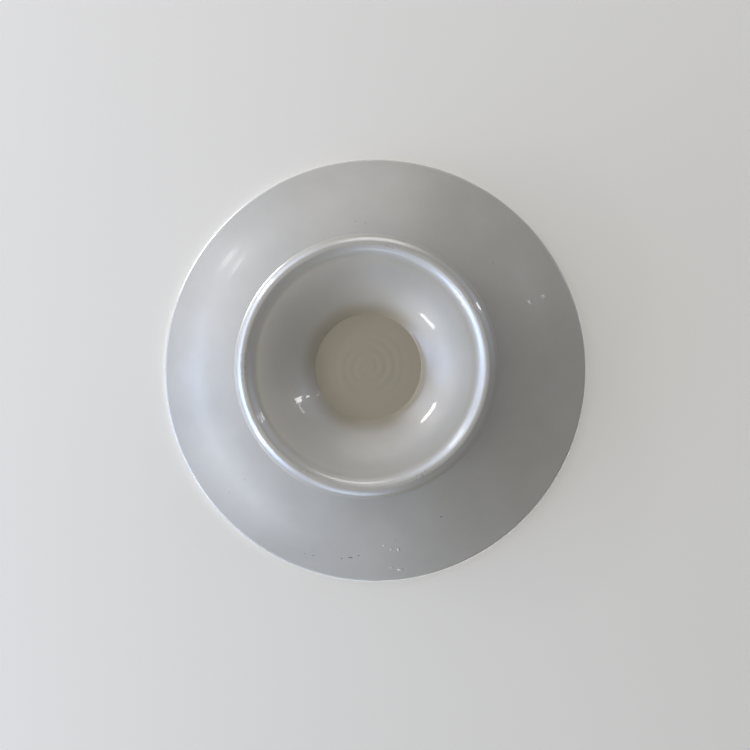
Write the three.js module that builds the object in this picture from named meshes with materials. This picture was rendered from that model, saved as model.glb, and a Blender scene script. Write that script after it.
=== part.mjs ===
// A low footed plate of glazed porcelain: a round coupe dish, a hollow foot that flares down to a
// rounded bead, and the ring of slip that lutes the two together. Every piece is turned about +Z.
// Millimetres, +Z up, with the foot standing on z = 0 and the origin in the middle of it.

import * as THREE from 'three';

// Driving dimensions of the whole plate
const PLATE_DIAMETER = 300;
const PLATE_HEIGHT = 56;

// Dish
const RIM_THICKNESS = 4;
const RIM_SLOPE = 16; // degrees above level, of the wall where it meets the lip
const RIM_WIDTH = 26; // from the rim in to the shoulder, where the wall is steepest
const SHOULDER_SLOPE = 22.5;
const SHOULDER_THICKNESS = 4.6;
const WELL_THICKNESS = 6.5;
const WELL_DIAMETER = 116; // level floor of the serving side
const SEAT_MARGIN = 1.4; // level underside left showing round the luting
const CENTRE_SAG = 1; // how far the middle of the underside sank in the kiln

// Foot
const FOOT_HEIGHT = 25;
const NECK_BORE = 74.6; // diameter of the hollow where the foot meets the dish
const NECK_WALL = 7.3;
const NECK_INNER_SLOPE = 39; // degrees, of the hollow's wall at the neck
const NECK_OUTER_SLOPE = 42;
const CREST_DIAMETER = 164.6; // the circle that the plate stands on
const GROUND_WIDTH = 1; // level band that is ground true on the crest
const BEAD_ROUND = 2.6; // radius of the crest on either side of that band
const BEAD_ROUND_SLOPE = 36; // degrees, where that round turns into a flank
const BEAD_STEEPEST_INSET = 4.1; // from the crest in to where the inner flank is steepest
const BEAD_STEEPEST_SLOPE = 45;
const CREASE_ROUND = 8.3; // radius of the crease between the inner flank and the hollow's wall
const BEAD_OVERHANG = 7.1; // from the crest out to the widest point of the bead
const BEAD_WIDEST_HEIGHT = 6.5;
const BEAD_HEIGHT = 10.6;
const BEAD_SHOULDER = 8.9; // from the widest point in to where the bead's top is level
const FLARE_INNER_SLOPE = 8; // degrees, of the hollow's wall at the crease
const FLARE_OUTER_SLOPE = 6; // degrees, of the outer wall where it leaves the bead

// Luting
const LUTE_THICKNESS = 0.8;
const LUTE_COVE = 0.9; // how far the squeezed-out slip creeps along the dish

// Fineness of the facets
const TURN_SEGMENTS = 72;
const SWEEP_STEPS = 9;
const FLANK_STEPS = 4;
const ROUND_STEPS = 5;
const LIP_STEPS = 8;
const SAG_STEPS = 3;
const COVE_STEPS = 3;

// Glaze as it looks in daylight
const GLAZE_COLOUR = 0xe8e6e1;
const GLAZE_ROUGHNESS = 0.12;
const LUTE_COLOUR = 0xdcd7cb;
const LUTE_ROUGHNESS = 0.25;

const QUARTER_TURN = Math.PI / 2;

const point = (r, z) => new THREE.Vector2(r, z);

const radians = (degrees) => THREE.MathUtils.degToRad(degrees);

const gradient = (degrees) => Math.tan(radians(degrees));

// How far a stretch rises over a run while its slope changes evenly from one angle to another
const meanRise = (run, slope, otherSlope) => (run * (gradient(slope) + gradient(otherSlope))) / 2;

// A point off another one, at a distance square to a slope
const offset = (from, distance, slope) =>
  point(from.x - distance * Math.sin(radians(slope)), from.y + distance * Math.cos(radians(slope)));

// A smooth stretch between two points whose gradients there are known: the two tangents cross at
// the middle control point of a parabola.
function sweep(start, startGradient, end, endGradient, steps = SWEEP_STEPS) {
  const climb = end.y - start.y + startGradient * start.x - endGradient * end.x;
  const r = climb / (startGradient - endGradient);
  const crossing = point(r, start.y + startGradient * (r - start.x));
  return new THREE.QuadraticBezierCurve(start, crossing, end).getPoints(steps);
}

// A round stretch about a centre, between two angles measured from the radius outwards
function round(centre, widthRadius, heightRadius, from, to, steps) {
  const arc = new THREE.EllipseCurve(centre.x, centre.y, widthRadius, heightRadius, from, to, to < from);
  return arc.getPoints(steps);
}

// Stretches of outline laid end to end, without the point that two neighbours share
function joined(...stretches) {
  return stretches.flatMap((points, i) => (i === 0 ? points : points.slice(1)));
}

// An outline of radius and height turned about the vertical axis
function turned(name, outline, colour, roughness) {
  const geometry = new THREE.LatheGeometry(outline, TURN_SEGMENTS);
  geometry.rotateX(QUARTER_TURN);
  const material = new THREE.MeshStandardMaterial({ color: colour, roughness, metalness: 0 });
  const mesh = new THREE.Mesh(geometry, material);
  mesh.name = name;
  return mesh;
}

// The joint that dish, foot and luting share
const neckInner = NECK_BORE / 2;
const neckOuter = neckInner + NECK_WALL;
const seatHeight = FOOT_HEIGHT + LUTE_THICKNESS;
const luteInner = neckInner - LUTE_COVE;
const luteOuter = neckOuter + LUTE_COVE;

// The dish: a sagging centre, the level seat, the coupe underside that eases off at the rim, the lip and
// the serving side
function makeDish() {
  const lipRadius = RIM_THICKNESS / 2;
  const lipCentre = point(PLATE_DIAMETER / 2 - lipRadius, PLATE_HEIGHT - lipRadius);
  const lean = radians(RIM_SLOPE);
  const lip = round(lipCentre, lipRadius, lipRadius, lean - QUARTER_TURN, lean + QUARTER_TURN, LIP_STEPS);

  const middle = point(0, seatHeight - CENTRE_SAG);
  const sagEdge = point(luteInner, seatHeight);
  const sagHandle = point(luteInner / 2, middle.y);
  const sag = new THREE.QuadraticBezierCurve(middle, sagHandle, sagEdge).getPoints(SAG_STEPS);
  const seatEdge = point(luteOuter + SEAT_MARGIN, seatHeight);

  const lipStart = lip.at(0);
  const shoulderRadius = PLATE_DIAMETER / 2 - RIM_WIDTH;
  const rimFall = meanRise(lipStart.x - shoulderRadius, RIM_SLOPE, SHOULDER_SLOPE);
  const shoulder = point(shoulderRadius, lipStart.y - rimFall);
  const meanGradient = (shoulder.y - seatEdge.y) / (shoulder.x - seatEdge.x);
  const seatGradient = 2 * meanGradient - gradient(SHOULDER_SLOPE);
  const underside = sweep(seatEdge, seatGradient, shoulder, gradient(SHOULDER_SLOPE));
  const rimUnderside = sweep(shoulder, gradient(SHOULDER_SLOPE), lipStart, gradient(RIM_SLOPE), FLANK_STEPS);

  const upperShoulder = offset(shoulder, SHOULDER_THICKNESS, SHOULDER_SLOPE);
  const wellHeight = seatHeight + WELL_THICKNESS;
  const wellEdge = point(WELL_DIAMETER / 2, wellHeight);
  const rimTop = sweep(lip.at(-1), gradient(RIM_SLOPE), upperShoulder, gradient(SHOULDER_SLOPE), FLANK_STEPS);
  const servingSide = sweep(upperShoulder, gradient(SHOULDER_SLOPE), wellEdge, 0);

  const outline = joined(
    sag,
    [sagEdge, seatEdge],
    underside,
    rimUnderside,
    lip,
    rimTop,
    servingSide,
    [wellEdge, point(0, wellHeight)],
  );
  return turned('dish', outline, GLAZE_COLOUR, GLAZE_ROUGHNESS);
}

// The outside of the bead: the round of the crest, a flank that turns upright at the widest point, and the
// round on top
function beadOutside(ground) {
  const start = -QUARTER_TURN;
  const crestCentre = point(ground.x, BEAD_ROUND);
  const crest = round(crestCentre, BEAD_ROUND, BEAD_ROUND, start, start + radians(BEAD_ROUND_SLOPE), ROUND_STEPS);

  const flankStart = crest.at(-1);
  const widest = point(CREST_DIAMETER / 2 + BEAD_OVERHANG, BEAD_WIDEST_HEIGHT);
  const corner = point(widest.x, flankStart.y + gradient(BEAD_ROUND_SLOPE) * (widest.x - flankStart.x));
  const flank = new THREE.QuadraticBezierCurve(flankStart, corner, widest).getPoints(ROUND_STEPS);

  const topCentre = point(widest.x - BEAD_SHOULDER, widest.y);
  const top = round(topCentre, BEAD_SHOULDER, BEAD_HEIGHT - widest.y, 0, QUARTER_TURN, ROUND_STEPS);
  return joined(crest, flank, top);
}

// The inside of the bead: from the crease that ends the hollow's wall, over the inner flank to the crest
function beadInside(ground) {
  const end = -QUARTER_TURN;
  const crestCentre = point(ground.x, BEAD_ROUND);
  const crest = round(crestCentre, BEAD_ROUND, BEAD_ROUND, end - radians(BEAD_ROUND_SLOPE), end, ROUND_STEPS);

  const flankEnd = crest.at(0);
  const steepestRadius = CREST_DIAMETER / 2 - BEAD_STEEPEST_INSET;
  const flankRise = meanRise(flankEnd.x - steepestRadius, BEAD_ROUND_SLOPE, BEAD_STEEPEST_SLOPE);
  const steepest = point(steepestRadius, flankEnd.y + flankRise);
  const flank = sweep(
    steepest,
    -gradient(BEAD_STEEPEST_SLOPE),
    flankEnd,
    -gradient(BEAD_ROUND_SLOPE),
    FLANK_STEPS,
  );

  const creaseCentre = offset(steepest, -CREASE_ROUND, -BEAD_STEEPEST_SLOPE);
  const crease = round(
    creaseCentre,
    CREASE_ROUND,
    CREASE_ROUND,
    QUARTER_TURN - radians(FLARE_INNER_SLOPE),
    QUARTER_TURN - radians(BEAD_STEEPEST_SLOPE),
    ROUND_STEPS,
  );
  return joined(crease, flank, crest);
}

// The foot: up the outside from the ground band to the neck, and back down the hollow
function makeFoot() {
  const crest = CREST_DIAMETER / 2;
  const groundOuter = point(crest + GROUND_WIDTH / 2, 0);
  const groundInner = point(crest - GROUND_WIDTH / 2, 0);
  const outside = beadOutside(groundOuter);
  const inside = beadInside(groundInner);
  const neckOutside = point(neckOuter, FOOT_HEIGHT);
  const neckInside = point(neckInner, FOOT_HEIGHT);
  const wall = sweep(outside.at(-1), -gradient(FLARE_OUTER_SLOPE), neckOutside, -gradient(NECK_OUTER_SLOPE));
  const hollow = sweep(neckInside, -gradient(NECK_INNER_SLOPE), inside[0], -gradient(FLARE_INNER_SLOPE));
  const outline = joined(
    [groundInner, groundOuter],
    outside,
    wall,
    [neckOutside, neckInside],
    hollow,
    inside,
  );
  return turned('foot', outline, GLAZE_COLOUR, GLAZE_ROUGHNESS);
}

// The luting: a flat ring of slip between neck and seat, wiped to a cove on both sides
function makeLutingRing() {
  const outerCove = round(
    point(luteOuter, FOOT_HEIGHT),
    LUTE_COVE,
    LUTE_THICKNESS,
    2 * QUARTER_TURN,
    QUARTER_TURN,
    COVE_STEPS,
  );
  const innerCove = round(point(luteInner, FOOT_HEIGHT), LUTE_COVE, LUTE_THICKNESS, QUARTER_TURN, 0, COVE_STEPS);
  const underside = [point(neckInner, FOOT_HEIGHT), point(neckOuter, FOOT_HEIGHT)];
  const top = [point(luteOuter, seatHeight), point(luteInner, seatHeight)];
  const outline = joined(underside, outerCove, top, innerCove);
  return turned('luting_ring', outline, LUTE_COLOUR, LUTE_ROUGHNESS);
}

const plate = new THREE.Group();
plate.name = 'footed_plate';
plate.add(makeDish(), makeFoot(), makeLutingRing());

export default plate;
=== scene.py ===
# %% [markdown]
# A footed plate of white glazed porcelain, in cells. The real plate is three pieces of clay that the kiln
# fires into one: a shallow round dish, a hollow foot that flares down to a rounded bead, and the ring of
# slip that lutes the two together. Here it stands on its foot with the serving side up, and the camera looks
# at it from below, so the picture shows the underside, as when the plate lies on its rim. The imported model
# is loaded first as a fixed frame in metres, and its box is kept, because the finished plate may not outgrow
# it.

# %% Load the frame
import math

import bmesh
import bpy
import numpy as np
from mathutils import Matrix, Vector, noise
from mathutils.bvhtree import BVHTree


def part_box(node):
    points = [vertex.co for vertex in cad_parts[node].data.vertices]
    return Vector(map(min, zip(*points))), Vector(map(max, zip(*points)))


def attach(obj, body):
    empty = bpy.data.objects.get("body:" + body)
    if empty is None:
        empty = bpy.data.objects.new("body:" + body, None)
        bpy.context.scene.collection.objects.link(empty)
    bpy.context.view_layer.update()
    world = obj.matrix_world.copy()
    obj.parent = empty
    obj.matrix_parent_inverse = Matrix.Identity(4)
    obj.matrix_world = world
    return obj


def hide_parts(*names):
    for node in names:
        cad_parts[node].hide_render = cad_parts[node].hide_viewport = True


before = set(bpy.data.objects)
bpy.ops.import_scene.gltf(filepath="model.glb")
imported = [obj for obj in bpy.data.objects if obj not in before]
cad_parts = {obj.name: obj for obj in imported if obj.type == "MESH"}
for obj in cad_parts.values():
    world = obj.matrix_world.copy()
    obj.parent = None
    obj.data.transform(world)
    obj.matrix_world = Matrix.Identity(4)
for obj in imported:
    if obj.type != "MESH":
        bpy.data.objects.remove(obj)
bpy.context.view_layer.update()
BODY = "root"  # the plate has no joints, so it is one body

# %% [markdown]
# Every piece is round about one axis, so each starts as half a cross section: points of radius and height.
# A designer draws such a section from few marks. Two ends with known slopes give a parabola, and a rounded
# edge is a stretch of an ellipse. Blender could spin a curve with its Screw modifier, but working the points
# out here lets the small irregularities of the clay be added before the mesh exists. The last number of each
# stretch says how many straight steps it is cut into.

# %% Stretches of a cross section
MM = 0.001


def sweep(start, start_slope, end, end_slope, steps):
    """Parabola between two points of radius and height, with its slopes there in degrees."""
    start, end = np.array(start), np.array(end)
    leave, arrive = np.tan(np.radians((start_slope, end_slope)))
    reach = (end[1] - start[1] + leave * start[0] - arrive * end[0]) / (leave - arrive)
    crossing = np.array((reach, start[1] + leave * (reach - start[0])))
    t = np.linspace(0, 1, steps + 1)[:, None]
    return (1 - t) ** 2 * start + 2 * t * (1 - t) * crossing + t**2 * end


def arc(centre, wide, tall, first, last, steps):
    """Stretch of an ellipse between two angles in degrees, measured from the radius outwards."""
    angle = np.radians(np.linspace(first, last, steps + 1))
    return np.column_stack((centre[0] + wide * np.cos(angle), centre[1] + tall * np.sin(angle)))


def straight(start, end, steps):
    """Straight stretch between two points."""
    return np.linspace(start, end, steps + 1)


def joined(*stretches):
    """Stretches laid end to end, without the point that two neighbours share."""
    return np.vstack([stretches[0]] + [stretch[1:] for stretch in stretches[1:]])


def mean_rise(run, slope, other_slope):
    """Rise over a run whose slope goes evenly from one to the other, in degrees."""
    return run * (math.tan(math.radians(slope)) + math.tan(math.radians(other_slope))) / 2


print("a wall that bends from 16 to 22.5 degrees over 26 mm climbs", round(mean_rise(26, 16, 22.5), 1), "mm")

# %% [markdown]
# A turned solid is its cross section copied round the axis, ring by ring, with a quad between neighbouring
# points. Where the section meets the axis the ring shrinks to one point, which Blender's Merge by Distance
# closes. Shading is smooth, except where two faces meet at more than the sharp angle.

# %% Turn a cross section into a mesh
SEGMENTS = 288
SHARP_ANGLE = math.radians(38)
MERGE_DISTANCE = 1e-7
CUBIC_CENTIMETRE = 1e-6
AROUND = np.linspace(0, 2 * np.pi, SEGMENTS, endpoint=False)


def link_mesh(name, shape):
    """Object of a finished bmesh, smooth shaded and linked to the scene."""
    mesh = bpy.data.meshes.new(name)
    shape.to_mesh(mesh)
    shape.free()
    mesh.shade_smooth()
    piece = bpy.data.objects.new(name, mesh)
    bpy.context.scene.collection.objects.link(piece)
    return piece


def turned(name, outline, closed, uneven):
    """Object of an outline turned about +Z. uneven(points) moves the points as hand and kiln did."""
    rings = np.vstack((outline, outline[:1])) if closed else outline
    radius, height = outline[:, :1], outline[:, 1:]
    corners = np.stack((radius * np.cos(AROUND), radius * np.sin(AROUND), height + 0 * AROUND), axis=2)
    index = np.arange(len(outline) * SEGMENTS).reshape(-1, SEGMENTS)
    index = np.vstack((index, index[:1]))[: len(rings)]
    here, there = index[:-1], index[1:]
    quads = np.stack((here, np.roll(here, -1, 1), np.roll(there, -1, 1), there), axis=2).reshape(-1, 4)
    draft = bpy.data.meshes.new(name + "_draft")
    draft.from_pydata(uneven(corners.reshape(-1, 3)).tolist(), [], quads.tolist())
    shape = bmesh.new()
    shape.from_mesh(draft)
    bpy.data.meshes.remove(draft)
    bmesh.ops.remove_doubles(shape, verts=shape.verts, dist=MERGE_DISTANCE)
    bmesh.ops.recalc_face_normals(shape, faces=shape.faces)
    volume = shape.calc_volume(signed=True) / CUBIC_CENTIMETRE
    piece = link_mesh(name, shape)
    piece.data.set_sharp_from_angle(angle=SHARP_ANGLE)
    print(name, len(piece.data.polygons), "faces,", round(volume, 1), "cubic centimetres")
    return piece


print("rings of", SEGMENTS, "points")

# %% [markdown]
# No fired plate is a perfect solid of revolution. As the clay softens, the wall of the dish sags a little
# along one diameter and draws in along the other, and the glaze runs to an uneven thickness that shows only
# as a slow wobble in its reflections. Both are far too small to measure in the picture, so they are set by
# what kilns usually do: some tenths of a millimetre at the rim, and hundredths in the glaze. Perlin noise
# gives the same wobble at every run, and it fades out at the lip, the joint and the ground band, which have
# to fit.

# %% The unevenness of hand and kiln
RIM_SAG = 0.3 * MM
RIM_DRAW = 0.25 * MM
SAG_AZIMUTH = math.radians(35)
WOBBLE = 0.05 * MM
WOBBLE_SIZE = 32 * MM


def fade(value, none, full):
    """Smooth step from 0 where value is none to 1 where it is full."""
    share = np.clip((value - none) / (full - none), 0, 1)
    return share * share * (3 - 2 * share)


def wobble(points):
    """Uneven glaze thickness at each point, from about -1 to 1."""
    return np.array([noise.noise(Vector(point) / WOBBLE_SIZE) for point in points])


print("the rim sags by up to", RIM_SAG / MM, "mm and draws in by up to", RIM_DRAW / MM, "mm")

# %% [markdown]
# The dish is jiggered: a template shapes its underside while the plaster mould shapes the serving side. Its
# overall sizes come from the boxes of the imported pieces, so that scene and model agree, and the rest are the
# thicknesses and slopes that the template has. The joint with the foot sets the seat.

# %% Sizes of the dish
RIM_THICKNESS = 4 * MM
RIM_SLOPE = 16
RIM_WIDTH = 26 * MM
SHOULDER_SLOPE = 22.5
SHOULDER_THICKNESS = 4.6 * MM
WELL_THICKNESS = 6.5 * MM
WELL_RADIUS = 58 * MM
SEAT_MARGIN = 1.4 * MM
LUTE_COVE = 0.9 * MM
NECK_WALL = 7.3 * MM

dish_low, dish_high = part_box("dish")
lute_low, lute_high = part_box("luting_ring")
plate_radius = dish_high.x
plate_height = dish_high.z
seat_height = lute_high.z
lute_outer = lute_high.x
neck_outer = lute_outer - LUTE_COVE
neck_inner = neck_outer - NECK_WALL
lute_inner = neck_inner - LUTE_COVE
seat_edge = lute_outer + SEAT_MARGIN
print("plate radius", round(plate_radius / MM, 1), "mm, seat at", round(seat_height / MM, 1), "mm")

# %% [markdown]
# The section runs from the sagging middle of the underside over the level seat of the foot, up a curve that
# is steepest at the shoulder and eases off to the rounded lip, and back down to the level well. Both sides
# are one outline, so the wall between them has its thickness by design.

# %% Section of the dish


def dish_outline():
    """Section of the dish, from the middle of the underside round to the middle of the well."""
    middle = (0, dish_low.z)
    sag_edge = (lute_inner, seat_height)
    sag_slope = math.degrees(math.atan(2 * (seat_height - dish_low.z) / lute_inner))
    lip_radius = RIM_THICKNESS / 2
    lip_centre = (plate_radius - lip_radius, plate_height - lip_radius)
    lip = arc(lip_centre, lip_radius, lip_radius, RIM_SLOPE - 90, RIM_SLOPE + 90, 28)
    shoulder_radius = plate_radius - RIM_WIDTH
    fall = mean_rise(lip[0][0] - shoulder_radius, RIM_SLOPE, SHOULDER_SLOPE)
    shoulder = np.array((shoulder_radius, lip[0][1] - fall))
    lean = math.radians(SHOULDER_SLOPE)
    mean_climb = (shoulder[1] - seat_height) / (shoulder_radius - seat_edge)
    start_slope = math.degrees(math.atan(2 * mean_climb - math.tan(lean)))
    inner_shoulder = shoulder + SHOULDER_THICKNESS * np.array((-math.sin(lean), math.cos(lean)))
    well_height = seat_height + WELL_THICKNESS
    well_edge = (WELL_RADIUS, well_height)
    return joined(
        sweep(middle, 0, sag_edge, sag_slope, 26),
        straight(sag_edge, (seat_edge, seat_height), 6),
        sweep((seat_edge, seat_height), start_slope, shoulder, SHOULDER_SLOPE, 44),
        sweep(shoulder, SHOULDER_SLOPE, lip[0], RIM_SLOPE, 14),
        lip,
        sweep(lip[-1], RIM_SLOPE, inner_shoulder, SHOULDER_SLOPE, 14),
        sweep(inner_shoulder, SHOULDER_SLOPE, well_edge, 0, 36),
        straight(well_edge, (0, well_height), 14),
    )


print("section of the dish", len(dish_outline()), "points")

# %% [markdown]
# Before the section becomes a mesh its points are moved as hand and kiln moved them. The middle of the
# underside keeps the shallow whorl that the turning tool left. Its depth is a guess, chosen so that its
# rings just show. The rest of the glaze gets its slow wobble, and the wall its sag.

# %% The dish
WHORL_PITCH = 6.3 * MM
WHORL_DEPTH = 0.13 * MM
WHORL_CORE = 1 / 3  # share of the disc's radius within which the whorl has its full depth
WOBBLE_START = 20 * MM
LIP_MARGIN = 8 * MM


def dish_uneven(points):
    """Whorl in the middle of the underside, wobble of the glaze, and a rim that sagged and drew in."""
    radius = np.hypot(points[:, 0], points[:, 1])
    azimuth = np.arctan2(points[:, 1], points[:, 0])
    below = points[:, 2] < seat_height
    whorl = np.cos(2 * np.pi * radius / WHORL_PITCH + azimuth) * fade(radius, 0, WHORL_PITCH)
    rise = WHORL_DEPTH * whorl * fade(radius, lute_inner, lute_inner * WHORL_CORE) * below
    free = fade(radius, seat_edge, seat_edge + WOBBLE_START)
    rise += WOBBLE * wobble(points) * free * fade(radius, plate_radius, plate_radius - LIP_MARGIN)
    swing = 0.5 + 0.5 * np.cos(2 * (azimuth - SAG_AZIMUTH))
    outward = fade(radius, seat_edge, plate_radius)
    rise -= RIM_SAG * swing * outward
    drawn = 1 - RIM_DRAW / plate_radius * (1 - swing) * outward
    return np.column_stack((points[:, :2] * drawn[:, None], points[:, 2] + rise))


dish = turned("dish_glazed", dish_outline(), False, dish_uneven)

# %% [markdown]
# The foot is slip cast as a ring of its own: a bead that is fuller outside than inside, a wall that climbs
# from it in a bell curve to the neck, and a like curve inside as the hollow, which meets the bead in a soft
# crease. The crest of the bead keeps a narrow level band, because the plate stands on it.

# %% Sizes of the foot
GROUND_WIDTH = 1 * MM
BEAD_OVERHANG = 7.1 * MM
BEAD_ROUND = 2.6 * MM
BEAD_ROUND_SLOPE = 36
BEAD_STEEPEST_SLOPE = 45
BEAD_STEEPEST_INSET = 4.1 * MM
BEAD_WIDEST_HEIGHT = 6.5 * MM
BEAD_HEIGHT = 10.6 * MM
BEAD_SHOULDER = 8.9 * MM
CREASE_ROUND = 8.3 * MM
FLARE_INNER_SLOPE = 8
FLARE_OUTER_SLOPE = 6
NECK_INNER_SLOPE = 39
NECK_OUTER_SLOPE = 42
UPRIGHT = 89.9  # degrees, a hair short of the vertical, because its tangent has to be a number

foot_low, foot_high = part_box("foot")
foot_height = foot_high.z
bead_widest = foot_high.x
crest_radius = bead_widest - BEAD_OVERHANG
print("the foot stands on a circle of", round(2 * crest_radius / MM, 1), "mm")

# %% [markdown]
# The bead takes the most care, because its round catches every light in the room. On its inner side it runs
# from the crease through a hollow round and a nearly straight flank to the crest. On its outer side a flank
# turns upright at the widest point, and a quarter ellipse leads from there back over the bead to the wall.

# %% Section of the bead


def bead_inside(ground):
    """Inner side of the bead, from the crease to the level band."""
    crest = arc((ground[0], BEAD_ROUND), BEAD_ROUND, BEAD_ROUND, -90 - BEAD_ROUND_SLOPE, -90, 12)
    reach = crest_radius - BEAD_STEEPEST_INSET
    climb = mean_rise(crest[0][0] - reach, BEAD_ROUND_SLOPE, BEAD_STEEPEST_SLOPE)
    turn = np.array((reach, crest[0][1] + climb))
    lean = math.radians(BEAD_STEEPEST_SLOPE)
    centre = turn - CREASE_ROUND * np.array((math.sin(lean), math.cos(lean)))
    crease = 90 - FLARE_INNER_SLOPE
    hollow = arc(centre, CREASE_ROUND, CREASE_ROUND, crease, 90 - BEAD_STEEPEST_SLOPE, 16)
    return joined(hollow, sweep(turn, -BEAD_STEEPEST_SLOPE, crest[0], -BEAD_ROUND_SLOPE, 8), crest)


def bead_outside(ground):
    """Outer side of the bead, from the level band over the widest point to the top of the bead."""
    crest = arc((ground[0], BEAD_ROUND), BEAD_ROUND, BEAD_ROUND, -90, BEAD_ROUND_SLOPE - 90, 12)
    flank = sweep(crest[-1], BEAD_ROUND_SLOPE, (bead_widest, BEAD_WIDEST_HEIGHT), UPRIGHT, 18)
    centre = (bead_widest - BEAD_SHOULDER, BEAD_WIDEST_HEIGHT)
    shoulder = arc(centre, BEAD_SHOULDER, BEAD_HEIGHT - BEAD_WIDEST_HEIGHT, 0, 90, 20)
    return joined(crest, flank, shoulder)


ground_in = (crest_radius - GROUND_WIDTH / 2, foot_low.z)
ground_out = (crest_radius + GROUND_WIDTH / 2, foot_low.z)
print("section of the bead", len(bead_inside(ground_in)) + len(bead_outside(ground_out)), "points")

# %% [markdown]
# The rest of the foot is two bell curves and the flat top that meets the luting. The wobble is left out near
# the level band, the widest point and the neck, so the foot still stands level, keeps its size and meets the
# luting.

# %% The foot
BAND_MARGIN = 3 * MM
NECK_MARGIN = 4 * MM
WIDEST_MARGIN = 4 * MM


def foot_outline():
    """Section of the foot, up the outside from the level band to the neck and back down the hollow."""
    outside, inside = bead_outside(ground_out), bead_inside(ground_in)
    section = joined(
        straight(ground_in, ground_out, 4),
        outside,
        sweep(outside[-1], -FLARE_OUTER_SLOPE, (neck_outer, foot_height), -NECK_OUTER_SLOPE, 36),
        straight((neck_outer, foot_height), (neck_inner, foot_height), 4),
        sweep((neck_inner, foot_height), -NECK_INNER_SLOPE, inside[0], -FLARE_INNER_SLOPE, 48),
        inside,
    )
    return section[:-1]


def foot_uneven(points):
    """Wobble of the glaze, which spares the level band, the widest point and the neck."""
    radius, height = np.hypot(points[:, 0], points[:, 1]), points[:, 2]
    spared = fade(height, 0, BAND_MARGIN) * fade(height, foot_height, foot_height - NECK_MARGIN)
    spared *= fade(radius, bead_widest, bead_widest - WIDEST_MARGIN)
    return points + np.outer(WOBBLE * wobble(points) * spared, (0, 0, 1))


foot = turned("foot_glazed", foot_outline(), True, foot_uneven)

# %% [markdown]
# The luting is the slip that the potter brushes on the seat before the foot is pressed on. What squeezes out
# is wiped round with a finger, which leaves a small cove inside and outside the neck. A quarter ellipse on
# either side is all that shows of it.

# %% The luting


def lute_outline():
    """Section of the slip ring, with a cove at either side."""
    bed = lute_low.z
    thickness_or_shade = seat_height - bed
    section = joined(
        straight((neck_inner, bed), (neck_outer, bed), 4),
        arc((lute_outer, bed), LUTE_COVE, thickness_or_shade, 180, 90, 10),
        straight((lute_outer, seat_height), (lute_inner, seat_height), 4),
        arc((lute_inner, bed), LUTE_COVE, thickness_or_shade, 90, 0, 10),
    )
    return section[:-1]


luting = turned("luting_cove", lute_outline(), True, lambda points: points)

# %% [markdown]
# Small faults make a plate look real. Specks of iron in the clay burn through the glaze as dark flecks, and
# where the glaze drew together it left low lumps that catch the light. Each is a low dome of its own, set on
# the dish by a ray cast from below, so that it follows the slope. It could be bump in the material, but then
# the mesh would lack it.

# %% Low domes on the glaze
DOME_RINGS = 5
DOME_SIDES = 18
DOME_EDGE = 1.5  # power that lets the dome run out flat at its edge
SUNK = 0.015 * MM
FAR_BELOW = -1

dish_tree = BVHTree.FromObject(dish, bpy.context.evaluated_depsgraph_get())


def dome(shape, radius, azimuth, long, wide, tall, twist):
    """Adds a closed low dome to a bmesh, lying on the underside of the dish. Sizes are in millimetres."""
    angle = math.radians(azimuth)
    origin = Vector((radius * MM * math.cos(angle), radius * MM * math.sin(angle), FAR_BELOW))
    place, normal, _, _ = dish_tree.ray_cast(origin, Vector((0, 0, 1)))
    outward = Vector((math.cos(angle), math.sin(angle), 0))
    tangent = normal.cross(outward).normalized()
    along = Matrix.Rotation(math.radians(twist), 3, normal) @ tangent
    across = normal.cross(along)
    top = shape.verts.new(place + normal * tall * MM)
    base = shape.verts.new(place - normal * SUNK)
    rings = []
    for step in range(1, DOME_RINGS + 1):
        share = step / DOME_RINGS
        lift = tall * MM * (1 - share**2) ** DOME_EDGE - SUNK * share
        ring = []
        for side in range(DOME_SIDES):
            around = 2 * math.pi * side / DOME_SIDES
            flat = along * (long / 2 * math.cos(around)) + across * (wide / 2 * math.sin(around))
            ring.append(shape.verts.new(place + flat * share * MM + normal * lift))
        rings.append(ring)
    for side in range(DOME_SIDES):
        after = (side + 1) % DOME_SIDES
        shape.faces.new((top, rings[0][side], rings[0][after]))
        shape.faces.new((base, rings[-1][after], rings[-1][side]))
        for inner, outer in zip(rings, rings[1:]):
            shape.faces.new((inner[side], outer[side], outer[after], inner[after]))


def domes(name, places):
    """Object of several domes."""
    shape = bmesh.new()
    for place in places:
        dome(shape, *place)
    bmesh.ops.recalc_face_normals(shape, faces=shape.faces)
    print(name, len(places), "domes")
    return link_mesh(name, shape)


print("each dome has", DOME_RINGS, "rings of", DOME_SIDES, "points")

# %% [markdown]
# The faults are listed by radius and azimuth in millimetres and degrees, where azimuth 0 points along +X
# and 90 along +Y. The flecks are almost flat, because the glaze closed over them. The tears of glaze stand
# a few tenths of a millimetre proud.

# %% Flecks and tears of the glaze
# radius, azimuth, length along the rim, width, height, twist
DARK_FLECKS = [
    (133.5, 96.3, 3.8, 1.2, 0.05, 6),
    (131.4, 93.8, 1.5, 1.2, 0.04, 50),
    (135.1, 98.9, 1.9, 1.0, 0.04, 0),
    (137.9, 107.3, 1.9, 0.9, 0.04, -10),
    (138.7, 110.0, 1.3, 0.7, 0.04, 20),
    (103.1, 264.5, 1.1, 0.9, 0.04, 0),
    (101.7, 268.4, 0.9, 0.7, 0.04, 40),
    (114.4, 64.4, 1.7, 1.1, 0.04, 20),
]
GLAZE_TEARS = [
    (124.1, 85.5, 2.8, 1.3, 0.34, 5),
    (127.4, 83.5, 2.2, 1.5, 0.3, 30),
    (128.0, 81.3, 4.4, 1.7, 0.46, 75),
    (140.3, 84.2, 3.2, 1.4, 0.3, 10),
    (142.5, 81.8, 4.6, 2.4, 0.36, -5),
    (119.0, 139.0, 2.2, 1.0, 0.3, 60),
    (133.8, 139.5, 2.6, 1.0, 0.3, 50),
]
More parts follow.
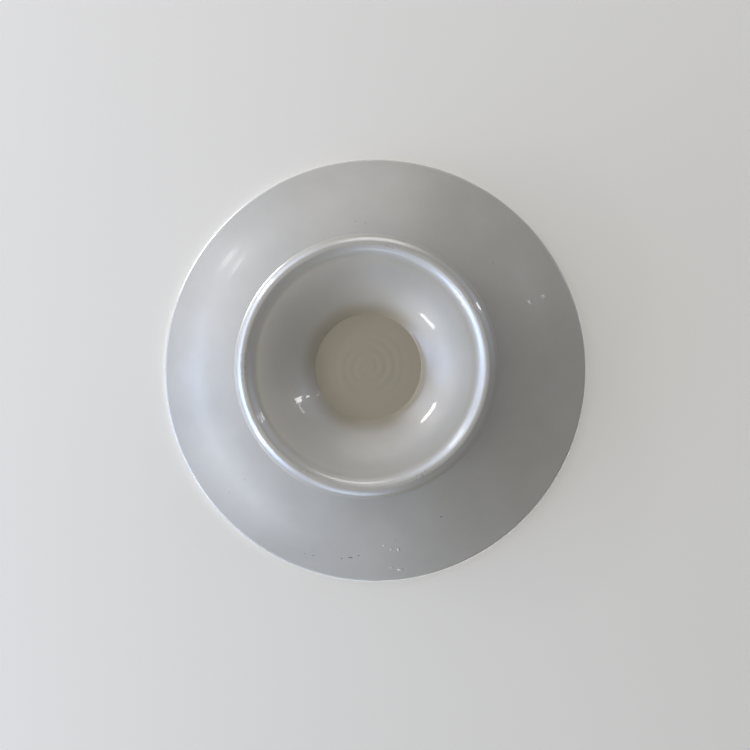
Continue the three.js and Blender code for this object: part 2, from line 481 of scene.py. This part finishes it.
flecks = domes("iron_flecks", DARK_FLECKS)
tears = domes("glaze_tears", GLAZE_TEARS)

# %% [markdown]
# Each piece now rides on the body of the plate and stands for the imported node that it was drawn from. The
# flecks and tears stand for no node, because they only belong to the glaze.

# %% Tie the pieces to the frame
for piece, node, finish in (
    (dish, "dish", "white_glaze"),
    (foot, "foot", "white_glaze"),
    (luting, "luting_ring", "glazed_slip"),
    (flecks, None, "white_glaze"),
    (tears, None, "white_glaze"),
):
    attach(piece, BODY)
    if node:
        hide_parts(node)
print("replaced", sorted(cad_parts))

# %% [markdown]
# Materials are node trees. A few helpers keep them short. One turns a colour as a painter reads it, in sRGB
# hex, into the linear numbers that Blender mixes light with. One adds a node with its settings and links: an
# input is named by its identifier, because a Mix node has several inputs with the same name. And as no fired
# colour is even, one mixes two colours by a noise whose size is a real one.

# %% Colour and node helpers


def srgb(code):
    """Linear red, green, blue and alpha of a colour written as RRGGBB."""
    channels = [int(code[i : i + 2], 16) / 255 for i in (0, 2, 4)]
    return [c / 12.92 if c <= 0.04045 else ((c + 0.055) / 1.055) ** 2.4 for c in channels] + [1]


def add_node(tree, kind, inputs=None, **settings):
    """Adds a node, sets its properties, gives inputs a value or a link, and returns its outputs."""
    node = tree.nodes.new(kind)
    for name, value in settings.items():
        setattr(node, name, value)
    sockets = {socket.identifier: socket for socket in node.inputs}
    for name, value in (inputs or {}).items():
        if isinstance(value, bpy.types.NodeSocket):
            tree.links.new(value, sockets[name])
        else:
            sockets[name].default_value = value
    return {socket.identifier: socket for socket in node.outputs}


def new_material(name):
    """Empty material, its node tree, and the place on the object that its patterns read."""
    material = bpy.data.materials.new(name)
    material.use_nodes = True
    tree = material.node_tree
    tree.nodes.clear()
    return material, tree, add_node(tree, "ShaderNodeTexCoord")["Object"]


def mottle(tree, place, size, detail, dark, light):
    """Two colours mixed by a noise of a given size. Returns the colour and the noise."""
    pattern = {"Vector": place, "Scale": 1 / size, "Detail": detail}
    blotches = add_node(tree, "ShaderNodeTexNoise", pattern)["Fac"]
    mixed = {"Factor_Float": blotches, "A_Color": srgb(dark), "B_Color": srgb(light)}
    return add_node(tree, "ShaderNodeMix", mixed, data_type="RGBA")["Result_Color"], blotches


print("D6D4CE in linear light is", [round(channel, 3) for channel in srgb("D6D4CE")[:3]])

# %% [markdown]
# Painted shade makes the glaze warmer, greyer and less glassy: on the disc at the bottom of the hollow,
# round the neck, and in a band along the widest part of the bead, where these lie in shade. Where the plate
# is slid about on its crest, the gloss is rubbed off. Both are stored on the vertices as numbers from 0 to
# 1, so that they follow the form exactly.

# %% Where shade is painted and where the glaze is rubbed
UNDER_MARGIN = 0.1 * MM
# heights and distances of the painted shade at the neck and along the bead
NECK_SHADE_HEIGHT = 17 * MM
NECK_SHADE_MARGIN = 1 * MM
BEAD_SHADE = 0.75
BEAD_SHADE_START = 3.6 * MM  # this and the next are distances out from the crest
BEAD_SHADE_WHOLE = 6 * MM
WEAR_HEIGHT = 0.9 * MM
WEAR_WHOLE_HEIGHT = 0.1 * MM
# azimuth and spread in degrees, and share of the gloss that is gone
WEAR_SPOTS = [(181, 11, 1.0), (282, 4, 0.8), (63, 9, 0.9), (330, 8, 0.5), (120, 7, 0.4)]


def places_of(piece):
    """Radius, azimuth in degrees and height of each vertex of a piece."""
    points = np.array([vertex.co for vertex in piece.data.vertices])
    azimuth = np.degrees(np.arctan2(points[:, 1], points[:, 0]))
    return np.hypot(points[:, 0], points[:, 1]), azimuth, points[:, 2]


def paint(piece, name, values):
    """Stores a number for each vertex of a piece, for its material to read."""
    layer = piece.data.attributes.new(name, "FLOAT", "POINT")
    layer.data.foreach_set("value", values.astype(np.float32))
    print(piece.name, name, "up to", round(float(values.max()), 2))


radius, _, height = places_of(dish)
under = (height < seat_height + UNDER_MARGIN) & (radius < seat_edge)
# painted shade: the disc at the bottom of the hollow gets the full warm grey
paint(dish, "painted_shade", np.where(under, 1.0, 0.0))

radius, azimuth, height = places_of(foot)
in_hollow = radius < crest_radius - BEAD_STEEPEST_INSET - CREASE_ROUND / 2
# painted shade: warm grey rising up the hollow to the neck, and a band along the widest part of the bead
neck_shade = fade(height, NECK_SHADE_HEIGHT, foot_height - NECK_SHADE_MARGIN)
bead_shade = BEAD_SHADE * fade(radius, crest_radius + BEAD_SHADE_START, crest_radius + BEAD_SHADE_WHOLE)
paint(foot, "painted_shade", np.where(in_hollow, neck_shade, bead_shade))
crest_wear = sum(
    fade(np.abs((azimuth - middle + 180) % 360 - 180), spread, 0) * share
    for middle, spread, share in WEAR_SPOTS
)
paint(foot, "rubbed", fade(height, WEAR_HEIGHT, WEAR_WHOLE_HEIGHT) * crest_wear)

# %% [markdown]
# Porcelain is a white clay body under glass. Its white is never one white: it drifts over some centimetres
# with the thickness of the glaze, which the eye takes for depth. Where shade is painted, the painted number
# leads over to a warm grey.

# %% The white body
CLOUD_SIZE = 38 * MM


def body_colour(tree, place, thickness_or_shade, white, cloud, painted_shade):
    """Two whites that drift into each other, and a warm grey of painted shade where the painted number says
    so.
    """
    drift, _ = mottle(tree, place, CLOUD_SIZE, 3, cloud, white)
    warmer = {"Factor_Float": thickness_or_shade, "A_Color": drift, "B_Color": srgb(painted_shade)}
    return add_node(tree, "ShaderNodeMix", warmer, data_type="RGBA")["Result_Color"]


print("whites drift over", CLOUD_SIZE / MM, "mm")

# %% [markdown]
# A clay body holds grains of iron that are far smaller than the flecks above, about a fifth of a millimetre
# wide. They are drawn four times as wide, because finer ones would not show. A Voronoi texture gives each
# cell one centre and one random colour, and only cells whose red is low get a speck.

# %% Iron specks
SPECK = "7C766A"
SPECK_SPACING = 17 * MM
SPECK_RADIUS = 0.4 * MM
SPECK_SHARE = 0.16
SPECK_STRENGTH = 0.6


def specked(tree, place, colour):
    """The colour with a faint speck in some cells."""
    cells = add_node(tree, "ShaderNodeTexVoronoi", {"Vector": place, "Scale": 1 / SPECK_SPACING})
    reach = SPECK_RADIUS / SPECK_SPACING
    # a soft edge, from half the radius to one and a half
    spot = {"Value": cells["Distance"], "From Min": 1.5 * reach, "From Max": 0.5 * reach}
    spot["To Max"] = SPECK_STRENGTH
    near = add_node(tree, "ShaderNodeMapRange", spot, interpolation_type="SMOOTHSTEP")["Result"]
    lot = add_node(tree, "ShaderNodeSeparateColor", {"Color": cells["Color"]})["Red"]
    drawn = {"Value": lot, "Value_001": SPECK_SHARE}
    chosen = add_node(tree, "ShaderNodeMath", drawn, operation="LESS_THAN")["Value"]
    both = {"Value": near, "Value_001": chosen}
    speck = add_node(tree, "ShaderNodeMath", both, operation="MULTIPLY")["Value"]
    dotted = {"Factor_Float": speck, "A_Color": colour, "B_Color": srgb(SPECK)}
    return add_node(tree, "ShaderNodeMix", dotted, data_type="RGBA")["Result_Color"]


print("specks of", 2 * SPECK_RADIUS / MM, "mm in about", SPECK_SHARE, "of the cells")

# %% [markdown]
# On the crest the glaze is scratched by whatever it was slid over. The scratches are a fine noise of which
# only the peaks count, and they show only where the gloss was painted as rubbed.

# %% Scuffs on the crest
SCUFF = "9A958B"
SCRATCH_SIZE = 2.2 * MM
SCRATCH_START = 0.5
SCRATCH_FULL = 0.7


def scuffed(tree, place, worn, colour):
    """The colour with grey scuffs where the glaze is worn."""
    pattern = {"Vector": place, "Scale": 1 / SCRATCH_SIZE, "Detail": 4, "Roughness": 0.7}
    scratches = add_node(tree, "ShaderNodeTexNoise", pattern)["Fac"]
    peaks = {"Value": scratches, "From Min": SCRATCH_START, "From Max": SCRATCH_FULL}
    marks = add_node(tree, "ShaderNodeMapRange", peaks)["Result"]
    both = {"Value": marks, "Value_001": worn}
    scuff = add_node(tree, "ShaderNodeMath", both, operation="MULTIPLY")["Value"]
    rubbed = {"Factor_Float": scuff, "A_Color": colour, "B_Color": srgb(SCUFF)}
    return add_node(tree, "ShaderNodeMix", rubbed, data_type="RGBA")["Result_Color"]


print("scratches of", SCRATCH_SIZE / MM, "mm at", len(WEAR_SPOTS), "places of the crest")

# %% [markdown]
# Melted glass is not flat. It has an orange peel of a few thousandths of a millimetre, and under it the
# faint rings that turning and trimming left. Both only bend the reflections, so they are bump and no mesh.

# %% Relief of the glaze
PEEL_SIZE = 2.6 * MM
PEEL_HEIGHT = 0.004 * MM
RING_PITCH = 1.9 * MM
RING_HEIGHT = 0.003 * MM
WAVE_TURN = math.pi / 10  # length of one ring of Blender's Wave texture at a scale of 1


def glaze_relief(tree, place):
    """Normal of the glaze, with orange peel and turning rings."""
    grain = {"Vector": place, "Scale": 1 / PEEL_SIZE, "Detail": 1}
    peel = add_node(tree, "ShaderNodeTexNoise", grain)["Fac"]
    melt = {"Height": peel, "Distance": PEEL_HEIGHT, "Strength": 1}
    normal = add_node(tree, "ShaderNodeBump", melt)["Normal"]
    spacing = {"Vector": place, "Scale": WAVE_TURN / RING_PITCH, "Distortion": 1.2, "Detail": 1}
    rings = add_node(tree, "ShaderNodeTexWave", spacing, wave_type="RINGS", rings_direction="Z")["Fac"]
    turning = {"Height": rings, "Distance": RING_HEIGHT, "Strength": 1, "Normal": normal}
    return add_node(tree, "ShaderNodeBump", turning)["Normal"]


print("orange peel of", PEEL_SIZE / MM, "mm over rings of", RING_PITCH / MM, "mm")

# %% [markdown]
# Gloss-glazed porcelain was dipped in a clear glaze that melted smooth in the kiln. The eye sees the soft
# colour of the body and, over it, sharp reflections that wobble a little. In Blender that is a Principled
# shader with a fairly rough base and a smooth coat of glass, which counts for less where the gloss is rubbed
# or shade is painted. The tears are lumps of the same glaze in a lighter white, a painted highlight that the
# eye reads as small wet drops.

# %% Gloss-glazed porcelain
GLAZE_IOR = 1.5
BODY_ROUGHNESS = 0.32
RUBBED_ROUGHNESS = 0.5
WEAK_COAT = 0.45
COAT_ROUGHNESS = 0.05
# warm grey of the painted shade
SHADE_GREY = "C1BAAB"


def glazed_porcelain(name, white, cloud):
    """Material of a clear gloss glaze over a white body."""
    material, tree, place = new_material(name)
    # share of painted shade stored on the vertices: a warmer grey and a weaker coat
    thickness_or_shade = add_node(tree, "ShaderNodeAttribute", attribute_name="painted_shade")["Fac"]
    worn = add_node(tree, "ShaderNodeAttribute", attribute_name="rubbed")["Fac"]
    body = specked(tree, place, body_colour(tree, place, thickness_or_shade, white, cloud, SHADE_GREY))
    rough = {"Value": worn, "To Min": BODY_ROUGHNESS, "To Max": RUBBED_ROUGHNESS}
    either = {"Value": worn, "Value_001": thickness_or_shade}
    flat = add_node(tree, "ShaderNodeMath", either, operation="MAXIMUM")["Value"]
    glass = {"Value": flat, "To Min": 1.0, "To Max": WEAK_COAT}
    normal = glaze_relief(tree, place)
    gloss = {
        "Base Color": scuffed(tree, place, worn, body),
        "Roughness": add_node(tree, "ShaderNodeMapRange", rough)["Result"],
        "IOR": GLAZE_IOR,
        "Coat Weight": add_node(tree, "ShaderNodeMapRange", glass)["Result"],
        "Coat Roughness": COAT_ROUGHNESS,
        "Coat IOR": GLAZE_IOR,
        "Normal": normal,
        "Coat Normal": normal,
    }
    surface = add_node(tree, "ShaderNodeBsdfPrincipled", gloss)["BSDF"]
    add_node(tree, "ShaderNodeOutputMaterial", {"Surface": surface})
    print(name, len(tree.nodes), "nodes")
    return material


porcelain = glazed_porcelain("gloss-glazed porcelain", "DEDCD7", "C8C5BE")
dish.data.materials.append(porcelain)
foot.data.materials.append(porcelain)
# the lighter white of the tears is a painted highlight on the lumps
tears.data.materials.append(glazed_porcelain("lumped glaze with painted highlight", "E8E6E0", "E0DED8"))

# %% [markdown]
# The slip of the joint is the same clay, brushed on wet, so under its glaze it keeps a trace of the brush.
# The eye sees a seam that is a little warmer and less even than the rest.

# %% Glazed slip
BRUSH_SIZE = 1.4 * MM
BRUSH_HEIGHT = 0.02 * MM


def glazed_slip(name):
    """Material of glaze over brushed slip."""
    material, tree, place = new_material(name)
    tint, strokes = mottle(tree, place, BRUSH_SIZE, 3, "BDB4A0", "CDC6B6")
    brushed = {"Height": strokes, "Distance": BRUSH_HEIGHT}
    gloss = {
        "Base Color": tint,
        "Roughness": 0.4,
        "IOR": GLAZE_IOR,
        "Coat Weight": 0.8,
        "Coat Roughness": 0.1,
        "Normal": add_node(tree, "ShaderNodeBump", brushed)["Normal"],
    }
    surface = add_node(tree, "ShaderNodeBsdfPrincipled", gloss)["BSDF"]
    add_node(tree, "ShaderNodeOutputMaterial", {"Surface": surface})
    print(name, len(tree.nodes), "nodes")
    return material


luting.data.materials.append(glazed_slip("glazed slip"))

# %% [markdown]
# An iron fleck is a grain of oxide that melted into the glaze. The eye sees a dark spot that bleeds out grey
# under the same gloss as the rest.

# %% Iron oxide under glaze
BLEED_SIZE = 0.6 * MM


def iron_oxide(name):
    """Material of a burnt iron grain under the glaze."""
    material, tree, place = new_material(name)
    tint, _ = mottle(tree, place, BLEED_SIZE, 2, "5E625F", "8E918D")
    gloss = {
        "Base Color": tint,
        "Roughness": 0.4,
        "IOR": GLAZE_IOR,
        "Coat Weight": 1.0,
        "Coat Roughness": 0.06,
    }
    surface = add_node(tree, "ShaderNodeBsdfPrincipled", gloss)["BSDF"]
    add_node(tree, "ShaderNodeOutputMaterial", {"Surface": surface})
    print(name, len(tree.nodes), "nodes")
    return material


flecks.data.materials.append(iron_oxide("iron oxide under glaze"))

# %% [markdown]
# The stage is pale matt paper, which gives the eye a calm ground with a soft shadow. The plate is looked at
# from above, standing on its foot, and from below, as if it lay on its rim, so the paper has to vanish from
# behind. It also fades out into the pale room, so that no edge shows, and glows a little, which keeps it
# pale. The fibres of real paper are far too fine to show, so its clouding is drawn about a centimetre wide.

# %% Pale paper
PAPER = "E6E4E0"
PAPER_HALF = 1.2
PAPER_WHOLE = 0.5  # radius in metres up to which the paper is whole
CLOUDING_SIZE = 9.6 * MM
CLOUDING_SHADE = 0.98


def pale_paper(name, strength):
    """Material of pale paper that is clear from behind and glows with a given strength."""
    material, tree, place = new_material(name)
    # without a vector the noise runs from 0 to 1 over the whole sheet
    clouding = {"Scale": 2 * PAPER_HALF / CLOUDING_SIZE, "Detail": 2}
    fibres = add_node(tree, "ShaderNodeTexNoise", clouding)["Fac"]
    shade = {"Value": fibres, "To Min": CLOUDING_SHADE, "To Max": 1.0}
    tone = add_node(tree, "ShaderNodeMapRange", shade)["Result"]
    shaded = {"Factor_Float": tone, "A_Color": srgb("000000"), "B_Color": srgb(PAPER)}
    tint = add_node(tree, "ShaderNodeMix", shaded, data_type="RGBA")["Result_Color"]
    matt = add_node(tree, "ShaderNodeBsdfDiffuse", {"Color": tint})["BSDF"]
    glow = add_node(tree, "ShaderNodeEmission", {"Color": srgb(PAPER), "Strength": strength})["Emission"]
    both = add_node(tree, "ShaderNodeAddShader", {"Shader": matt, "Shader_001": glow})["Shader"]
    reach = add_node(tree, "ShaderNodeVectorMath", {"Vector": place}, operation="LENGTH")["Value"]
    edge = {"Value": reach, "From Min": PAPER_WHOLE, "From Max": PAPER_HALF}
    gone = add_node(tree, "ShaderNodeMapRange", edge, interpolation_type="SMOOTHSTEP")["Result"]
    behind = add_node(tree, "ShaderNodeNewGeometry")["Backfacing"]
    either = {"Value": behind, "Value_001": gone}
    hidden = add_node(tree, "ShaderNodeMath", either, operation="MAXIMUM")["Value"]
    clear = add_node(tree, "ShaderNodeBsdfTransparent")["BSDF"]
    mixed = {"Fac": hidden, "Shader": both, "Shader_001": clear}
    sheet = add_node(tree, "ShaderNodeMixShader", mixed)["Shader"]
    add_node(tree, "ShaderNodeOutputMaterial", {"Surface": sheet})
    print(name, len(tree.nodes), "nodes")
    return material


print("the paper is whole up to", PAPER_WHOLE, "m and gone at", PAPER_HALF, "m")

# %% [markdown]
# There are two sheets: one at the ground under the foot, which shows only from above, and one at the level
# of the rim, which shows only from below. Only camera rays see them, so neither takes light from the plate
# or throws any on it, and the shadow of the plate still falls on them.

# %% The paper sheets
GROUND_GLOW = 0.22
RIM_GLOW = 0.34


def paper_sheet(name, height, faces_up, material):
    """Square sheet on the stage, seen from one side."""
    half = PAPER_HALF
    corners = [(-half, -half, height), (half, -half, height), (half, half, height), (-half, half, height)]
    mesh = bpy.data.meshes.new(name)
    mesh.from_pydata(corners if faces_up else corners[::-1], [], [(0, 1, 2, 3)])
    mesh.materials.append(material)
    sheet = bpy.data.objects.new(name, mesh)
    bpy.context.scene.collection.objects.link(sheet)
    sheet.visible_diffuse = False
    sheet.visible_glossy = False
    sheet.visible_transmission = False
    sheet.visible_shadow = False
    print(name, "at", round(height / MM, 1), "mm")


paper_sheet("ground_sheet", 0.0, True, pale_paper("matt paper on the ground", GROUND_GLOW))
paper_sheet("rim_sheet", plate_height, False, pale_paper("matt paper at the rim", RIM_GLOW))

# %% [markdown]
# A softbox is an area lamp with a white cloth in front. A feathered one fades out from its core to its edge,
# so that its reflection has no outline, and a crisp one shows as a bright pane. Each points at the middle
# of the plate and is placed by azimuth and height in degrees as seen from there. Negative heights lie below
# the plate.

# %% A softbox
TARGET = Vector((0, 0, plate_height / 2))
ROOM = 1.5  # metres from the middle of the plate to the lamps round it
NEUTRAL = "FFFFFF"
FEATHER_EDGE = 0.5  # where the light ends and where it is whole, as shares of the lamp's size
FEATHER_CORE = 0.1
FEATHER_GAIN = 3.25  # makes up for the light that the faded edge loses


def feather(lamp):
    """Lets the light of an area lamp fade out from its core to its edge."""
    lamp.use_nodes = True
    tree = lamp.node_tree
    tree.nodes.clear()
    spot = add_node(tree, "ShaderNodeNewGeometry")["Parametric"]
    middle = {"Vector": spot, "Vector_001": (0.5, 0.5, 0)}
    off = add_node(tree, "ShaderNodeVectorMath", middle, operation="DISTANCE")["Value"]
    cloth = {"Value": off, "From Min": FEATHER_EDGE, "From Max": FEATHER_CORE, "To Max": FEATHER_GAIN}
    strength = add_node(tree, "ShaderNodeMapRange", cloth, interpolation_type="SMOOTHSTEP")["Result"]
    glow = add_node(tree, "ShaderNodeEmission", {"Strength": strength})["Emission"]
    add_node(tree, "ShaderNodeOutputLight", {"Surface": glow})


def softbox(name, azimuth, height, wide, tall, watts, colour=NEUTRAL, distance=ROOM, feathered=True):
    """Area lamp that points at the plate. Its width lies level, and its sizes are in metres."""
    lamp = bpy.data.lights.new(name, "AREA")
    lamp.shape = "RECTANGLE"
    lamp.size = wide
    lamp.size_y = tall
    lamp.energy = watts
    lamp.color = srgb(colour)[:3]
    if feathered:
        feather(lamp)
    a, h = math.radians(azimuth), math.radians(height)
    toward = Vector((math.cos(a) * math.cos(h), math.sin(a) * math.cos(h), math.sin(h)))
    stand = bpy.data.objects.new(name, lamp)
    stand.location = TARGET + toward * distance
    stand.rotation_mode = "QUATERNION"
    stand.rotation_quaternion = toward.to_track_quat("Z", "Y")
    stand.visible_camera = False
    bpy.context.scene.collection.objects.link(stand)


print("lamps stand", ROOM, "m from", [round(c, 3) for c in TARGET])

# %% [markdown]
# The light is that of a room with windows on one side. Narrow crisp panes make the sharp highlights on bead
# and hollow, and a few small ones across the room make the glints on the other side.

# %% Windows
# name, azimuth, height, width, tallness, watts
WINDOWS = [
    ("window_far", 150, -25.5, 0.32, 0.05, 1.0),
    ("window_near", 215, -23.7, 0.36, 0.05, 1.1),
    ("window_far_low", 150.5, -3, 0.2, 0.28, 1.2),
    ("window_near_low", 216.5, -3, 0.26, 0.28, 1.5),
    ("window_across_0", 331.7, -39.6, 0.012, 0.012, 0.007),
    ("window_across_1", 328, -32, 0.1, 0.12, 0.5),
    ("window_across_2", 321, -33, 0.18, 0.03, 0.06),
    ("window_across_3", 328, -25.5, 0.035, 0.035, 0.06),
    ("window_across_4", 326, -20, 0.035, 0.035, 0.06),
    ("window_across_5", 328, -11, 0.11, 0.11, 0.4),
]
for window in WINDOWS:
    softbox(*window, feathered=False)
print("windows", len(WINDOWS))

# %% [markdown]
# Broad feathered softboxes stand for the bright wall round the windows. Those near the level of the plate
# are mostly cool, as daylight is, and those that stand nearer to the camera are mostly warm. Weak fills
# answer from across the room and from the camera.

# %% Bright wall and fills
COOL = "B0CEFF"
COOLISH = "D0E3FF"
WARM = "FFF5EE"
STRAW = "FFF7DA"
# name, azimuth, height, width, tallness, watts, colour, and a distance that differs
PANELS = [
    ("low_wall_start", 103, -7, 1.4, 0.5, 3.0, COOLISH),
    ("low_wall_far", 162, -7.5, 2.4, 0.58, 14.4, COOL),
    ("low_wall_near", 215, -7.5, 2.2, 0.58, 5.0, COOLISH),
    ("low_wall_end", 270, -7, 1.6, 0.5, 3.0, NEUTRAL),
    ("wall_start", 95, -32, 1.6, 1.2, 0.65, WARM),
    ("wall_far", 145, -24, 2.2, 1.2, 3.5, NEUTRAL),
    ("wall_middle", 182, -23, 1.2, 0.7, 1.7, COOL),
    ("wall_near", 205, -28, 2.2, 1.2, 3.2, WARM),
    ("wall_end", 258, -34, 1.6, 1.2, 1.4, WARM),
    ("ceiling_edge", 216.4, -30.7, 0.24, 0.05, 0.06, NEUTRAL),
    ("answer_fill", 330, -16, 2.2, 1.2, 2.0, COOL),
    ("camera_fill", 180, -75, 2.4, 2.4, 2.4, STRAW, 1.6),
]
for panel in PANELS:
    softbox(*panel)
print("panels", len(PANELS))

# %% [markdown]
# The serving side faces away from all of these, so it has lamps of its own: a softbox overhead, a key that
# stands far enough off to light the paper evenly, and one pane for a highlight.

# %% Lamps over the serving side
softbox("overhead_softbox", 90, 80, 1.6, 1.6, 12.0, distance=1.6)
softbox("key_softbox", 215, 32, 1.6, 1.6, 68.0, distance=3.2)
softbox("key_window", 135, 27, 0.34, 0.3, 0.3, distance=1.8, feathered=False)
print("lamps", len(bpy.data.lights))

# %% [markdown]
# The world fills the shadows weakly. What the camera and the glossy glaze see of it is a pale wall. A Light
# Path node tells the two apart, so that a pale background puts no more light on the plate.

# %% World
WALL = "F4F2EE"
WALL_STRENGTH = 0.78
FILL_STRENGTH = 0.06

world = bpy.data.worlds.new("pale room")
bpy.context.scene.world = world
world.use_nodes = True
world.node_tree.nodes.clear()
rays = add_node(world.node_tree, "ShaderNodeLightPath")
seen = rays["Is Camera Ray"]
for kind in ("Is Glossy Ray", "Is Transmission Ray"):
    either = {"Value": seen, "Value_001": rays[kind]}
    seen = add_node(world.node_tree, "ShaderNodeMath", either, operation="MAXIMUM")["Value"]
shown = {"Value": seen, "To Min": FILL_STRENGTH, "To Max": WALL_STRENGTH}
strength = add_node(world.node_tree, "ShaderNodeMapRange", shown)["Result"]
wall = {"Color": srgb(WALL), "Strength": strength}
background = add_node(world.node_tree, "ShaderNodeBackground", wall)["Background"]
add_node(world.node_tree, "ShaderNodeOutputWorld", {"Surface": background})
bpy.context.scene.view_settings.view_transform = "Standard"
print(world.name, len(world.node_tree.nodes), "nodes")

# %% [markdown]
# The camera hangs nine tenths of a metre below the rim, six degrees off the axis of the plate, and looks at
# the underside. Its place and focal length were chosen so that rim, crest and disc, which lie at three
# depths, fall on the circles of the picture.

# %% Camera
CAMERA_DISTANCE = 900 * MM
CAMERA_ASIDE = (86.1 * MM, 40.3 * MM)
AIM = Vector((1.9 * MM, 4.2 * MM, plate_height))
FOCAL_LENGTH = 61.03  # millimetres, as Blender counts it
PICTURE_UP = Vector((0, -1, 0))

camera_data = bpy.data.cameras.new("underside camera")
camera_data.lens = FOCAL_LENGTH
camera = bpy.data.objects.new("underside_camera", camera_data)
camera.location = (*CAMERA_ASIDE, plate_height - CAMERA_DISTANCE)
view = (AIM - camera.location).normalized()
right = view.cross(PICTURE_UP).normalized()
turn = Matrix((right, right.cross(view), -view)).transposed().to_4x4()
camera.matrix_world = Matrix.Translation(camera.location) @ turn
bpy.context.scene.collection.objects.link(camera)
bpy.context.scene.camera = camera
print("camera at", [round(c, 3) for c in camera.location])
